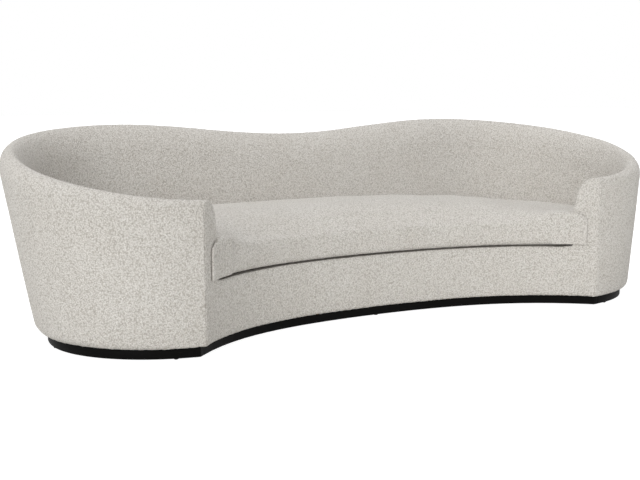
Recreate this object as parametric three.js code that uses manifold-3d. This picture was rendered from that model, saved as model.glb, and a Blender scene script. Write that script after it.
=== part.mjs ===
// A curved sofa for three or four people: a concave front, two round ends and a back that flares outwards.
// Millimetres, +Z up, +X along the width, the seat open towards -Y. The floor is z = 0.
import * as THREE from 'three';
import { mergeVertices } from 'three/addons/utils/BufferGeometryUtils.js';
import Module from 'manifold-3d';

const wasm = await Module();
wasm.setup();

// Driving dimensions of the whole sofa, measured from the line through its two front corners
const front_half_width = 921;
const front_sagitta = 296;
const front_fullness_share = 0.5;
const front_overhang = 25;
const arm_front_height = 556;
const back_corner_height = 783;
const back_middle_height = 729;
const crest_rise_power = 1.6;

// Plan of the cover at its lower edge: two round ends joined by a nearly straight back. A power under 1 makes
// a round end squarer.
const foot_end_centre_x = 878;
const foot_end_centre_y = 400;
const foot_end_radius_x = 503;
const foot_end_radius_front = 426;
const foot_end_radius_rear = 525;
const foot_back_middle_y = 907;
const foot_front_power = 1;
const foot_rear_power = 1;

// Plan of the cover at its top edge, which leans outwards all round
const crest_end_centre_x = 835;
const crest_end_centre_y = 485;
const crest_end_radius_x = 630;
const crest_end_radius_front = 515;
const crest_end_radius_rear = 622;
const crest_back_middle_y = 1095;
const crest_front_power = 0.88;
const crest_rear_power = 0.98;

// Wall of the back and arms
const arm_wall_thickness = 72;
const back_wall_thickness = 88;
const outer_panel_thickness = 8;
const inner_pad_thickness = 34;
const outer_top_radius = 25;
const ridge_inset = 22;
const inner_roll_height = 125;
const hem_radius = 38;
const hem_front_radius = 12;
const front_run_in = 130;

// Front panel, which faces the seat rail and both arm ends
const front_panel_thickness = 15;
const front_panel_edge_radius = 12;
const seat_rail_height = 263;

// Plinth
const plinth_height = 41;
const plinth_board_thickness = 18;
const plinth_half_width = 932;
const plinth_end_centre_x = 878;
const plinth_end_centre_y = 400;
const plinth_end_radius_x = 463;
const plinth_end_radius_front = 407;
const plinth_end_radius_rear = 485;
const plinth_back_middle_y = 867;
const glide_height = 3;
const glide_radius = 8;
const glide_edge = 1;
const front_glide_place = 2.8;

// Timber frame
const base_board_thickness = 18;
const base_hole_radius = 120;
const base_hole_inner_x = 534;
const base_hole_outer_x = 1010;
const splice_width = 160;
const splice_thickness = 12;
const splice_length = 420;
const rib_thickness = 18;
const rib_foot_reach = 112;
const rib_foot_height = 40;
const rib_toe_radius = 22;
const post_depth = 30;
const top_rail_depth = 18;
const top_rail_drop = 45;
const rail_thickness = 18;
const rail_top = 240;
const brace_thickness = 18;
const brace_arch_height = 95;
const brace_arch_length = 270;
const brace_top_drop = 6;
const plinth_brace_thickness = 18;

// Seat suspension, platform and dust cover
const webbing_thickness = 2.5;
const webbing_width = 62;
const webbing_cross_width = 58;
const webbing_bay_half_width = 430;
const webbing_reach = 1210;
const straps_per_bay = 7;
const platform_thickness = 19.5;
const dust_cover_thickness = 1.2;

// Seat cushion
const cushion_front_height = 117;
const cushion_wall_height = 152;
const cushion_crown_height = 171;
const cushion_side_clearance = 3;
const cushion_front_proud = 12;
const cushion_corner_radius = 42;
const cushion_front_rise_length = 210;
const ear_inset = 29;
const ear_height = 156;
const ear_end_height = 116;
const ear_shoulder_length = 51;
const ear_root_length = 95;
const ear_clearance = 1.2;
const cushion_cover_thickness = 2.4;
const zip_length = 900;
const zip_width = 9;

// Clearance between pieces that touch, and the overrun of every cutting tool
const fit = 0.3;
const frame_gap = 2.4;
const overrun = 60;
const corner_overrun = 30;
const far = 2600;

// Places along the wall: 0 is the middle of the back, 1 the rear of an end, 2 its side, 3 its foremost point
// and 4 the inboard end of the run-in behind the front panel. Negative places are on the left.
const back_place = 1;
const side_place = 2;
const front_place = 3;
const run_in_place = 4;
const panel_seam_place = 1.25;
const pad_seam_place = 1.1;
const rail_seam_place = 1.35;
const post_place = 2.7;
const cushion_end_place = 2.9;
const rib_places = [2.45, 1.9, 1.42, 0.95, 0.48];

// Counts of facets
const back_steps = 7;
const end_steps = 10;
const arc_steps = 4;
const roll_steps = 7;
const front_steps = 30;
const glide_facets = 16;
const hole_facets = 32;
const spine_steps = 20;
const cushion_front_steps = 16;
const ear_steps = 6;

const material = (color, roughness) => new THREE.MeshStandardMaterial({ color, roughness, metalness: 0 });
const fabric = material(0xcfc9be, 0.95);
const cushion_fabric = material(0xc8c2ba, 0.95);
const black_lacquer = material(0x0c0c0a, 0.4);
const birch_plywood = material(0xcaa874, 0.7);
const beech = material(0xb98a5a, 0.6);
const nylon = material(0x1a1a1a, 0.5);
const felt = material(0x9a958c, 0.98);
const elastic_webbing = material(0x3a3733, 0.9);
const foam = material(0xe6dcb4, 0.95);
const zip_tape = material(0x8d877c, 0.8);
const dust_cloth = material(0x151515, 0.98);

// Plan lines
const foot_line = {
  x: foot_end_centre_x, y: foot_end_centre_y, side: foot_end_radius_x, front: foot_end_radius_front,
  rear: foot_end_radius_rear, middle: foot_back_middle_y, front_power: foot_front_power,
  rear_power: foot_rear_power,
};
const crest_line = {
  x: crest_end_centre_x, y: crest_end_centre_y, side: crest_end_radius_x, front: crest_end_radius_front,
  rear: crest_end_radius_rear, middle: crest_back_middle_y, front_power: crest_front_power,
  rear_power: crest_rear_power,
};
const plinth_line = {
  x: plinth_end_centre_x, y: plinth_end_centre_y, side: plinth_end_radius_x, front: plinth_end_radius_front,
  rear: plinth_end_radius_rear, middle: plinth_back_middle_y, front_power: foot_front_power,
  rear_power: foot_rear_power,
};

const quarter = Math.PI / 2;
const ease = (share) => (1 - Math.cos(Math.PI * share)) / 2;
const mix = (a, b, share) => a + (b - a) * share;
const clamp = (value, low, high) => Math.min(Math.max(value, low), high);
// A very short step along a plan line, counted in places
const place_step = 1e-3;

// Point of a plan line at a place
function linePoint(line, place) {
  const hand = place < 0 ? -1 : 1;
  const q = Math.abs(place);
  if (q <= back_place) {
    const share = q / back_place;
    return new THREE.Vector2(hand * line.x * share, mix(line.middle, line.y + line.rear, ease(share)));
  }
  if (q >= front_place) {
    const share = (q - front_place) / (run_in_place - front_place);
    return new THREE.Vector2(hand * (line.x - front_run_in * share), line.y - line.front);
  }
  const at_rear = q < side_place;
  const angle = quarter * (q - side_place) / (at_rear ? side_place - back_place : front_place - side_place);
  const reach = line.side * Math.max(Math.cos(angle), 0) ** (at_rear ? line.rear_power : line.front_power);
  const forwards = (at_rear ? line.rear : line.front) * Math.sin(angle);
  return new THREE.Vector2(hand * (line.x + reach), line.y - forwards);
}

// Outward normal of a pair of plan lines, averaged
function lineNormal(lines, place) {
  const along = new THREE.Vector2();
  for (const line of lines) {
    along.add(linePoint(line, place + place_step).sub(linePoint(line, place - place_step)).normalize());
  }
  return new THREE.Vector2(-along.y, along.x).normalize();
}

// Places from one to another, closer together round the ends
function placesBetween(from, to) {
  const places = new Set([from, to]);
  const add = (value) => {
    if (value > from + place_step && value < to - place_step) places.add(Number(value.toFixed(6)));
  };
  for (const hand of [-1, 1]) {
    add(hand * run_in_place);
    for (let i = 0; i <= end_steps; i++) add(hand * mix(front_place, side_place, i / end_steps));
    for (let i = 1; i <= end_steps; i++) add(hand * mix(side_place, back_place, i / end_steps));
    for (let i = 0; i < back_steps; i++) add(hand * back_place * i / back_steps);
  }
  return [...places].sort((a, b) => a - b);
}
const stations = placesBetween(-run_in_place, run_in_place);

// What is worked out at two stations runs straight between them, so that neighbours share their facets
function straightBetween(place, valueAt, blend) {
  let i = 0;
  while (i + 2 < stations.length && stations[i + 1] < place) i++;
  const share = (place - stations[i]) / (stations[i + 1] - stations[i]);
  return blend(valueAt(stations[i]), valueAt(stations[i + 1]), share);
}
const mixPoints = (a, b, share) => a.clone().lerp(b, share);

// Height of the top edge: low at the arm fronts, highest at the rear of the ends, lower again in the middle
const crestHeight = (place) => straightBetween(place, crestCurve, mix);
function crestCurve(place) {
  const q = Math.abs(place);
  if (q <= back_place) return mix(back_middle_height, back_corner_height, ease(q / back_place));
  if (q >= front_place) return arm_front_height;
  const share = (front_place - q) / (front_place - back_place);
  return mix(arm_front_height, back_corner_height, Math.sin(quarter * share) ** crest_rise_power);
}

const wallThickness = (place) => straightBetween(place, thicknessCurve, mix);
function thicknessCurve(place) {
  const q = Math.abs(place);
  const share = clamp((q - back_place) / (front_place - back_place), 0, 1);
  return mix(back_wall_thickness, arm_wall_thickness, ease(share));
}

// A point of the wall: depth inwards from the outer face, and height
function wallPoint(place, depth, z) {
  return straightBetween(place, (station) => wallCurve(station, depth, z), mixPoints);
}
function wallCurve(place, depth, z) {
  const foot = linePoint(foot_line, place);
  const crest = linePoint(crest_line, place);
  const share = (z - plinth_height) / (crestHeight(place) - plinth_height);
  const normal = lineNormal([foot_line, crest_line], place);
  return new THREE.Vector3(
    mix(foot.x, crest.x, share) - normal.x * depth,
    mix(foot.y, crest.y, share) - normal.y * depth,
    z,
  );
}

function plinthPoint(place, depth, z) {
  return straightBetween(place, (station) => plinthCurve(station, depth, z), mixPoints);
}
function plinthCurve(place, depth, z) {
  const point = linePoint(plinth_line, place);
  const normal = lineNormal([plinth_line], place);
  return new THREE.Vector3(point.x - normal.x * depth, point.y - normal.y * depth, z);
}

// The place that lies a given distance along the wall from another
function placeBeside(place, distance) {
  const run = linePoint(foot_line, place + place_step).distanceTo(linePoint(foot_line, place - place_step));
  return place + distance * 2 * place_step / run;
}

// The concave front: a point at x, a depth behind the front face, and height
function frontLine(half_width, overhang) {
  const rise = (x) => {
    const k = (x / half_width) ** 2;
    return front_sagitta * (1 - k) * (1 + front_fullness_share * k) - overhang;
  };
  return (x, depth, z) => {
    const inside = clamp(x, -half_width, half_width);
    const step = half_width * place_step;
    const slope = (rise(inside + step) - rise(inside - step)) / (2 * step);
    const length = Math.hypot(1, slope);
    const y = rise(inside) + slope * (x - inside);
    return new THREE.Vector3(x - slope * depth / length, y + depth / length, z);
  };
}
const frontPoint = frontLine(front_half_width, front_overhang);
const plinthFrontPoint = frontLine(plinth_half_width, 0);

// Solids
function solidFrom(geometry) {
  const bare = new THREE.BufferGeometry();
  bare.setAttribute('position', geometry.getAttribute('position').clone());
  if (geometry.index) bare.setIndex(geometry.index.clone());
  const merged = mergeVertices(bare, 1e-4);
  const points = merged.getAttribute('position').array;
  const index = merged.index.array;
  let volume = 0;
  const a = new THREE.Vector3();
  const b = new THREE.Vector3();
  const c = new THREE.Vector3();
  for (let i = 0; i < index.length; i += 3) {
    a.fromArray(points, 3 * index[i]);
    b.fromArray(points, 3 * index[i + 1]);
    c.fromArray(points, 3 * index[i + 2]);
    volume += a.dot(b.cross(c));
  }
  const triangles = Uint32Array.from(index);
  if (volume < 0) triangles.reverse();
  return new wasm.Manifold(new wasm.Mesh({
    numProp: 3, vertProperties: Float32Array.from(points), triVerts: triangles,
  }));
}

function geometryFrom(solid) {
  const mesh = solid.getMesh();
  const geometry = new THREE.BufferGeometry();
  geometry.setAttribute('position', new THREE.BufferAttribute(Float32Array.from(mesh.vertProperties), 3));
  geometry.setIndex(new THREE.BufferAttribute(Uint32Array.from(mesh.triVerts), 1));
  return geometry;
}

// A solid through closed rings of points, with a flat cap on the first and last. Each facet is split the
// short way. A cap is drawn in the section's own plane, or else as it is seen from above.
function loft(rings, section) {
  const count = rings[0].length;
  const positions = [];
  for (const ring of rings) for (const point of ring) positions.push(point.x, point.y, point.z);
  const index = [];
  for (let r = 0; r + 1 < rings.length; r++) {
    for (let i = 0; i < count; i++) {
      const a = r * count + i;
      const b = r * count + (i + 1) % count;
      const one = rings[r][i].distanceTo(rings[r + 1][(i + 1) % count]);
      const other = rings[r][(i + 1) % count].distanceTo(rings[r + 1][i]);
      if (one < other) index.push(a, b, b + count, a, b + count, a + count);
      else index.push(a, b, a + count, b, b + count, a + count);
    }
  }
  const cap = (ring, first, faces_back) => {
    const outline = section ?? ring.map((point) => new THREE.Vector2(point.x, point.y));
    const turned = THREE.ShapeUtils.isClockWise(outline) !== faces_back;
    for (const [a, b, c] of THREE.ShapeUtils.triangulateShape([...outline], [])) {
      if (turned) index.push(first + a, first + c, first + b);
      else index.push(first + a, first + b, first + c);
    }
  };
  cap(rings[0], 0, true);
  cap(rings.at(-1), (rings.length - 1) * count, false);
  const geometry = new THREE.BufferGeometry();
  geometry.setAttribute('position', new THREE.Float32BufferAttribute(positions, 3));
  geometry.setIndex(index);
  return solidFrom(geometry);
}

// A section of [depth, height] corners carried along the wall from place to place
function wallSweep(section, from, to, pointAt = wallPoint) {
  const places = placesBetween(from, to);
  const rings = places.map((place) => section(place).map(([depth, z]) => pointAt(place, depth, z)));
  return loft(rings, section(places[0]).map(([depth, z]) => new THREE.Vector2(depth, z)));
}

// A section of [depth, height] corners carried along the concave front
function frontSweep(section, from, to, pointAt = frontPoint) {
  const rings = frontPlaces(from, to).map((x) => section.map(([depth, z]) => pointAt(x, depth, z)));
  return loft(rings, section.map(([depth, z]) => new THREE.Vector2(depth, z)));
}

// Stations along the front, the same ones for every piece, so that faces stay parallel
function frontPlaces(from, to) {
  const places = [from];
  for (let i = 0; i <= front_steps; i++) {
    const x = mix(-front_half_width, front_half_width, i / front_steps);
    if (x > from + fit && x < to - fit) places.push(x);
  }
  return [...places, to];
}

function prism(outline, bottom, top) {
  const shape = new THREE.Shape(outline);
  const geometry = new THREE.ExtrudeGeometry(shape, { depth: top - bottom, bevelEnabled: false });
  geometry.translate(0, 0, bottom);
  return solidFrom(geometry);
}

function block(x0, x1, y0, y1, z0, z1) {
  const geometry = new THREE.BoxGeometry(x1 - x0, y1 - y0, z1 - z0);
  geometry.translate((x0 + x1) / 2, (y0 + y1) / 2, (z0 + z1) / 2);
  return solidFrom(geometry);
}

// Everything that lies at least a depth behind the front face
function behindFront(depth, pointAt = frontPoint) {
  const reach = front_half_width + foot_end_radius_x;
  const outline = frontPlaces(-reach, reach).map((x) => {
    const point = pointAt(x, depth, 0);
    return new THREE.Vector2(point.x, point.y);
  });
  const end_y = outline[0].y;
  outline.push(new THREE.Vector2(far, end_y), new THREE.Vector2(far, far));
  outline.push(new THREE.Vector2(-far, far), new THREE.Vector2(-far, end_y));
  return prism(outline, -overrun, far);
}

// Everything that lies deeper in the sofa than a depth of the wall, at one level
function insideWall(depthAt, level, bottom, top, pointAt = wallPoint) {
  const outline = placesBetween(-run_in_place, run_in_place).map((place) => {
    const point = pointAt(place, depthAt(place), level);
    return new THREE.Vector2(point.x, point.y);
  });
  return prism(outline, bottom, top);
}

const parts = new THREE.Group();
function addPart(name, solid, finish) {
  const mesh = new THREE.Mesh(geometryFrom(solid), finish);
  mesh.name = name;
  parts.add(mesh);
}

// Sections of the wall, as [depth, height] corners
function arc(centre_depth, centre_z, radius_depth, radius_z, from, to, steps) {
  const points = [];
  for (let i = 0; i <= steps; i++) {
    const angle = mix(from, to, i / steps);
    points.push([centre_depth + radius_depth * Math.cos(angle), centre_z + radius_z * Math.sin(angle)]);
  }
  return points;
}

// Radius of the hem, tightest at the arm fronts
const hemRadius = (place) => straightBetween(place, hemCurve, mix);
function hemCurve(place) {
  const share = clamp((Math.abs(place) - side_place) / (front_place - side_place), 0, 1);
  return mix(hem_radius, hem_front_radius, ease(share));
}

// Underside of the hem's cloth, or a layer inside it
function hemArc(place, depth) {
  const radius = hemRadius(place);
  const size = radius - depth;
  return arc(radius, plinth_height + radius, size, size, 3 * quarter, 2 * quarter, arc_steps);
}

function topArcs(place) {
  const crest = crestHeight(place);
  const thickness = wallThickness(place);
  const outer_z = crest - outer_top_radius;
  const inner_z = crest - inner_roll_height;
  const outer = arc(ridge_inset, outer_z, ridge_inset, outer_top_radius, 2 * quarter, quarter, arc_steps);
  const inner = arc(ridge_inset, inner_z, thickness - ridge_inset, inner_roll_height, quarter, 0, roll_steps);
  return [...outer, ...inner.slice(1)];
}

const outerPanelSection = (place) => {
  const top = crestHeight(place) - outer_top_radius - fit;
  const inner = hemArc(place, outer_panel_thickness).reverse();
  return [...hemArc(place, 0), [0, top], [outer_panel_thickness, top], ...inner];
};

const pad_bottom = rail_top + fit + webbing_thickness + fit;
const padSection = (place) => {
  const crest = crestHeight(place);
  const thickness = wallThickness(place);
  const back = thickness - inner_pad_thickness;
  const rail_cover = crest - top_rail_drop + fit;
  const panel_back = outer_panel_thickness + fit;
  return [
    ...topArcs(place), [thickness, pad_bottom], [back, pad_bottom], [back, rail_cover],
    [panel_back, rail_cover], [panel_back, crest - outer_top_radius],
  ];
};

const topRailSection = (place) => {
  const top = crestHeight(place) - top_rail_drop;
  const bottom = top - top_rail_depth;
  const front = outer_panel_thickness + frame_gap;
  const back = wallThickness(place) - inner_pad_thickness - frame_gap;
  return [[front, bottom], [front, top], [back, top], [back, bottom]];
};

const hem_top = plinth_height + hem_radius;
const board_top = plinth_height + fit + base_board_thickness;
const rib_bottom = board_top + fit;
const rib_foot_top = rib_bottom + rib_foot_height;
const rail_bottom = rib_foot_top + fit;
const ribSection = (place) => {
  const top = crestHeight(place) - top_rail_drop - top_rail_depth - fit;
  const front = outer_panel_thickness + frame_gap;
  const back = wallThickness(place) - inner_pad_thickness - frame_gap;
  const radius = hem_radius - front;
  const start = Math.asin((hem_top - rib_bottom) / radius) + 2 * quarter;
  const hem = arc(hem_radius, hem_top, radius, radius, start, 2 * quarter, arc_steps);
  const toe_depth = rib_foot_reach - rib_toe_radius;
  const toe_z = rib_foot_top - rib_toe_radius;
  const toe = arc(toe_depth, toe_z, rib_toe_radius, rib_toe_radius, quarter, 0, arc_steps);
  return [...hem, [front, top], [back, top], [back, rib_foot_top], ...toe, [rib_foot_reach, rib_bottom]];
};

const railSection = (place) => {
  const front = wallThickness(place) - inner_pad_thickness;
  const back = front + rail_thickness;
  return [[front, rail_bottom], [front, rail_top], [back, rail_top], [back, rail_bottom]];
};

// Whole wall, from its hem to its rolled top
const wallSection = (place) => {
  const thickness = wallThickness(place);
  return [...hemArc(place, 0), ...topArcs(place), [thickness, plinth_height]];
};

// Outer panel with a margin, and open outwards, for cutting what ends against it
const outerPanelCutter = (place) => {
  const top = crestHeight(place) - outer_top_radius;
  const depth = outer_panel_thickness + fit;
  const inner = hemArc(place, depth).reverse();
  const hem_end = hemRadius(place) + fit;
  return [
    [-overrun, plinth_height - overrun], [-overrun, top], [depth, top], ...inner,
    [hem_end, plinth_height + depth], [hem_end, plinth_height - overrun],
  ];
};

// Plinth: four boards on edge, two braces and eight glides
const plinth_bottom = glide_height + fit;
const plinthBoard = () => [
  [0, plinth_bottom], [0, plinth_height],
  [plinth_board_thickness, plinth_height], [plinth_board_thickness, plinth_bottom],
];
const behind_plinth_front = behindFront(plinth_board_thickness + fit, plinthFrontPoint);
for (const [name, from, to] of [
  ['plinth_left_end', -run_in_place, placeBeside(-back_place, -fit / 2)],
  ['plinth_back', placeBeside(-back_place, fit / 2), placeBeside(back_place, -fit / 2)],
  ['plinth_right_end', placeBeside(back_place, fit / 2), run_in_place],
]) {
  const board = wallSweep(plinthBoard, from, to, plinthPoint);
  addPart(name, name === 'plinth_back' ? board : board.intersect(behind_plinth_front), black_lacquer);
}
const plinth_front = insideWall(() => 0, 0, plinth_bottom, plinth_height, plinthPoint)
  .intersect(behindFront(0, plinthFrontPoint))
  .subtract(behindFront(plinth_board_thickness, plinthFrontPoint));
addPart('plinth_front', plinth_front, black_lacquer);

const inside_plinth = insideWall(() => plinth_board_thickness + fit, 0, 0, plinth_height, plinthPoint)
  .intersect(behind_plinth_front);
const plinth_brace_share = 0.42;
for (const [name, hand] of [['plinth_brace_left', -1], ['plinth_brace_right', 1]]) {
  const x = hand * plinth_brace_share * plinth_half_width;
  const half = plinth_brace_thickness / 2;
  const brace = block(x - half, x + half, 0, far, plinth_bottom, plinth_height - dust_cover_thickness - fit);
  addPart(name, brace.intersect(inside_plinth), black_lacquer);
}

function glideAt(point) {
  const profile = [
    [0, 0], [glide_radius - glide_edge, 0],
    [glide_radius, glide_edge], [glide_radius, glide_height], [0, glide_height],
  ];
  const geometry = new THREE.LatheGeometry(profile.map(([x, z]) => new THREE.Vector2(x, z)), glide_facets);
  geometry.rotateX(quarter);
  geometry.translate(point.x, point.y, 0);
  return solidFrom(geometry);
}
const board_middle = plinth_board_thickness / 2;
const plinthMiddle = (place) => plinthPoint(place, board_middle, 0);
const glide_points = [
  plinthMiddle(-front_glide_place), plinthFrontPoint(0, board_middle, 0), plinthMiddle(front_glide_place),
  plinthMiddle(-side_place), plinthMiddle(side_place),
  plinthMiddle(-panel_seam_place), plinthMiddle(panel_seam_place), plinthMiddle(0),
];
glide_points.forEach((point, i) => addPart(`glide_${i + 1}`, glideAt(point), nylon));

// Base boards: two halves of plywood with two round holes each, joined by a splice plate
const behind_panel = behindFront(front_panel_thickness + fit);
const board_bottom = plinth_height + fit;
const hem_inside = insideWall((place) => hemRadius(place) + fit, plinth_height, board_bottom, board_top)
  .intersect(behind_panel);
const seatMiddle = (x) => (frontPoint(x, 0, 0).y + foot_back_middle_y) / 2;
const base_holes = [
  [base_hole_inner_x, seatMiddle(base_hole_inner_x)], [base_hole_outer_x, foot_end_centre_y],
];
for (const [name, hand] of [['base_board_left', -1], ['base_board_right', 1]]) {
  const near = hand * fit / 2;
  const half_space = block(Math.min(near, hand * far), Math.max(near, hand * far), -far, far, 0, far);
  let board = hem_inside.intersect(half_space);
  for (const [x, y] of base_holes) {
    const hole = new THREE.CylinderGeometry(base_hole_radius, base_hole_radius, overrun, hole_facets);
    hole.rotateX(quarter);
    hole.translate(hand * x, y, (board_bottom + board_top) / 2);
    board = board.subtract(solidFrom(hole));
  }
  addPart(name, board, birch_plywood);
}
const splice_front = seatMiddle(0) - splice_length / 2;
const base_splice = block(
  -splice_width / 2, splice_width / 2, splice_front, splice_front + splice_length,
  rib_bottom, rib_bottom + splice_thickness,
);
addPart('base_splice', base_splice, birch_plywood);

// Dust cover, stretched under the base boards inside the plinth
const dust_bottom = plinth_height - dust_cover_thickness;
addPart('dust_cover', inside_plinth.intersect(block(-far, far, -far, far, dust_bottom, far)), dust_cloth);

// Upright ribs round the back and arms, each on a foot that stands on the base boards
rib_places.forEach((place, i) => {
  for (const [side, hand] of [['left', -1], ['right', 1]]) {
    const at = hand * place;
    const from = placeBeside(at, -rib_thickness / 2);
    const to = placeBeside(at, rib_thickness / 2);
    addPart(`rib_${side}_${i + 1}`, wallSweep(ribSection, from, to), birch_plywood);
  }
});
const half_rib = rib_thickness / 2;
const rib_middle = wallSweep(ribSection, placeBeside(0, -half_rib), placeBeside(0, half_rib));
addPart('rib_middle', rib_middle, birch_plywood);

// Arm posts behind the front panel
const post_rear = behindFront(front_panel_thickness + fit + post_depth);
for (const [name, from, to] of [
  ['arm_post_left', -run_in_place, -post_place], ['arm_post_right', post_place, run_in_place],
]) {
  addPart(name, wallSweep(ribSection, from, to).intersect(behind_panel).subtract(post_rear), birch_plywood);
}

// Top rails, seat rails and the front rail
function threeLengths(names, section, seam, cutter, finish) {
  const lengths = [
    [names[0], -run_in_place, placeBeside(-seam, -fit / 2)],
    [names[1], placeBeside(-seam, fit / 2), placeBeside(seam, -fit / 2)],
    [names[2], placeBeside(seam, fit / 2), run_in_place],
  ];
  lengths.forEach(([name, from, to], i) => {
    const length = wallSweep(section, from, to);
    addPart(name, i === 1 ? length : length.intersect(cutter), finish);
  });
}
const top_rails = ['top_rail_left', 'top_rail_back', 'top_rail_right'];
threeLengths(top_rails, topRailSection, rail_seam_place, behind_panel, beech);
const behind_front_rail = behindFront(front_panel_thickness + fit + rail_thickness + fit);
const seat_rails = ['seat_rail_left', 'seat_rail_back', 'seat_rail_right'];
threeLengths(seat_rails, railSection, rail_seam_place, behind_front_rail, birch_plywood);

const rail_front = front_panel_thickness + fit;
const front_reach = front_half_width + corner_overrun;
const rail_rear = rail_front + rail_thickness;
const front_rail_section = [
  [rail_front, rib_bottom], [rail_front, rail_top], [rail_rear, rail_top], [rail_rear, rib_bottom],
];
const frameCutter = (place) => {
  const back = wallThickness(place) - inner_pad_thickness;
  return [[-overrun, 0], [-overrun, far], [back, far], [back, 0]];
};
let front_rail = frontSweep(front_rail_section, -front_reach, front_reach)
  .intersect(insideWall(() => 0, rail_top, 0, rail_top));
const foot_reach = rib_foot_reach + fit;
const footCutter = () => [[-overrun, 0], [-overrun, rail_bottom], [foot_reach, rail_bottom], [foot_reach, 0]];
for (const [from, to] of [[-run_in_place, -side_place], [side_place, run_in_place]]) {
  for (const section of [frameCutter, footCutter]) {
    front_rail = front_rail.subtract(wallSweep(section, from, to));
  }
}
addPart('front_rail', front_rail, birch_plywood);

// Seat braces from the front rail to the back rail
const railBack = (place) => wallThickness(place) - inner_pad_thickness + rail_thickness + fit;
const brace_top = rail_top - brace_top_drop;
const inside_rails = insideWall(railBack, rib_bottom, rib_bottom, brace_top).intersect(behind_front_rail);
const brace_shares = [-0.86, -0.3, 0.3, 0.86];
brace_shares.forEach((share, i) => {
  const x = share * front_half_width;
  const half = brace_thickness / 2;
  let brace = block(x - half, x + half, -far, far, rib_bottom, brace_top).intersect(inside_rails);
  const box = brace.boundingBox();
  const arch = new THREE.CylinderGeometry(brace_arch_height, brace_arch_height, overrun, hole_facets);
  arch.rotateZ(quarter);
  arch.scale(1, brace_arch_length / 2 / brace_arch_height, 1);
  arch.translate(x, (box.min[1] + box.max[1]) / 2, rib_bottom);
  brace = brace.subtract(solidFrom(arch));
  addPart(`seat_brace_${i + 1}`, brace, birch_plywood);
});

// Elastic webbing in three bays, front to back and crosswise, stapled on the rails
const webbing_bottom = rail_top + fit;
const webbing_top = webbing_bottom + webbing_thickness;
const staple_depth = rail_thickness / 4;
const strapEnd = (place) => wallThickness(place) - inner_pad_thickness + staple_depth;
const webbing_outline = insideWall(strapEnd, webbing_bottom, webbing_bottom, webbing_top)
  .intersect(behindFront(rail_front + staple_depth));
// Middle line of a crosswise strap: parallel to the curved front in the middle bay, straight in the end bays
const curvedStrap = (share) => (x, depth, z) => {
  const rear = foot_back_middle_y - back_wall_thickness;
  return new THREE.Vector3(x, mix(frontPoint(x, 0, 0).y, rear, share) + depth, z);
};
const straightStrap = (share) => (x, depth, z) => {
  return new THREE.Vector3(x, foot_end_centre_y + share * foot_end_radius_rear + depth, z);
};
const middle_cross_shares = [0.25, 0.5, 0.75];
const end_cross_shares = [0, 0.28, 0.56];
const middle_straps = middle_cross_shares.map(curvedStrap);
const end_straps = end_cross_shares.map(straightStrap);
const half_cross = webbing_cross_width / 2;
const cross_section = [
  [-half_cross, webbing_bottom], [-half_cross, webbing_top],
  [half_cross, webbing_top], [half_cross, webbing_bottom],
];
function webbingBay(from, to, lines) {
  const pitch = (to - from) / straps_per_bay;
  const straps = lines.map((line) => frontSweep(cross_section, from + fit / 2, to - fit / 2, line));
  for (let i = 0; i < straps_per_bay; i++) {
    const x = from + pitch * (i + 0.5);
    straps.push(block(x - webbing_width / 2, x + webbing_width / 2, -far, far, webbing_bottom, webbing_top));
  }
  return wasm.Manifold.union(straps).intersect(webbing_outline);
}
const bay = webbing_bay_half_width;
addPart('webbing_left', webbingBay(-webbing_reach, -bay, end_straps), elastic_webbing);
addPart('webbing_middle', webbingBay(-bay, bay, middle_straps), elastic_webbing);
addPart('webbing_right', webbingBay(bay, webbing_reach, end_straps), elastic_webbing);

// Seat platform: a felt and cloth pad over the webbing
const platform_bottom = webbing_top + fit;
const platform_top = platform_bottom + platform_thickness;
const platformEdge = (place) => wallThickness(place) + fit;
const platform = insideWall(platformEdge, platform_bottom, platform_bottom, platform_top);
addPart('seat_platform', platform.intersect(behind_panel), felt);

// Inside pads over the arms and back, rolled over the top rail
const pads = ['inside_arm_pad_left', 'inside_back_pad', 'inside_arm_pad_right'];
threeLengths(pads, padSection, pad_seam_place, behind_panel, fabric);

// Outer panels, hemmed under at the foot
const panels = ['outside_arm_panel_left', 'outside_back_panel', 'outside_arm_panel_right'];
threeLengths(panels, outerPanelSection, panel_seam_place, behindFront(0), fabric);

// Front panel: one concave face over the seat rail and both arm ends
const edge = front_panel_edge_radius;
const panel_section = [
  ...arc(edge, plinth_height + edge, edge, edge, 3 * quarter, 2 * quarter, arc_steps),
  ...arc(edge, seat_rail_height - edge, edge, edge, 2 * quarter, quarter, arc_steps),
  [front_panel_thickness, seat_rail_height], [front_panel_thickness, plinth_height],
];
let front_panel = frontSweep(panel_section, -front_reach, front_reach);
const panel_slab = behindFront(0).subtract(behindFront(front_panel_thickness));
const above_hem = block(-far, far, -far, far, hem_top, far);
for (const [from, to] of [[-run_in_place, -side_place], [side_place, run_in_place]]) {
  const facing = wallSweep(wallSection, from, to).intersect(panel_slab).intersect(above_hem);
  front_panel = front_panel.add(facing).subtract(wallSweep(outerPanelCutter, from, to));
}
addPart('front_panel', front_panel, fabric);

// Seat cushion: one bench cushion with a crowned top, its cover, foam core and zip
const cushion_bottom = seat_rail_height + fit;
const spine_end_share = 0.97;
const spineLine = [];
for (let i = 0; i <= spine_steps; i++) {
  const share = mix(-1, 1, i / spine_steps);
  const middle_y = seatMiddle(0) - back_wall_thickness / 2;
  const y = mix(middle_y, foot_end_centre_y, share ** 2);
  spineLine.push(new THREE.Vector2(share * spine_end_share * foot_end_centre_x, y));
}
function nearestOnSpine(point) {
  let best = null;
  for (let i = 0; i < spine_steps; i++) {
    const along = spineLine[i + 1].clone().sub(spineLine[i]);
    const share = clamp(point.clone().sub(spineLine[i]).dot(along) / along.lengthSq(), 0, 1);
    const candidate = spineLine[i].clone().addScaledVector(along, share);
    if (!best || candidate.distanceTo(point) < best.distanceTo(point)) best = candidate;
  }
  return best;
}
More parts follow.
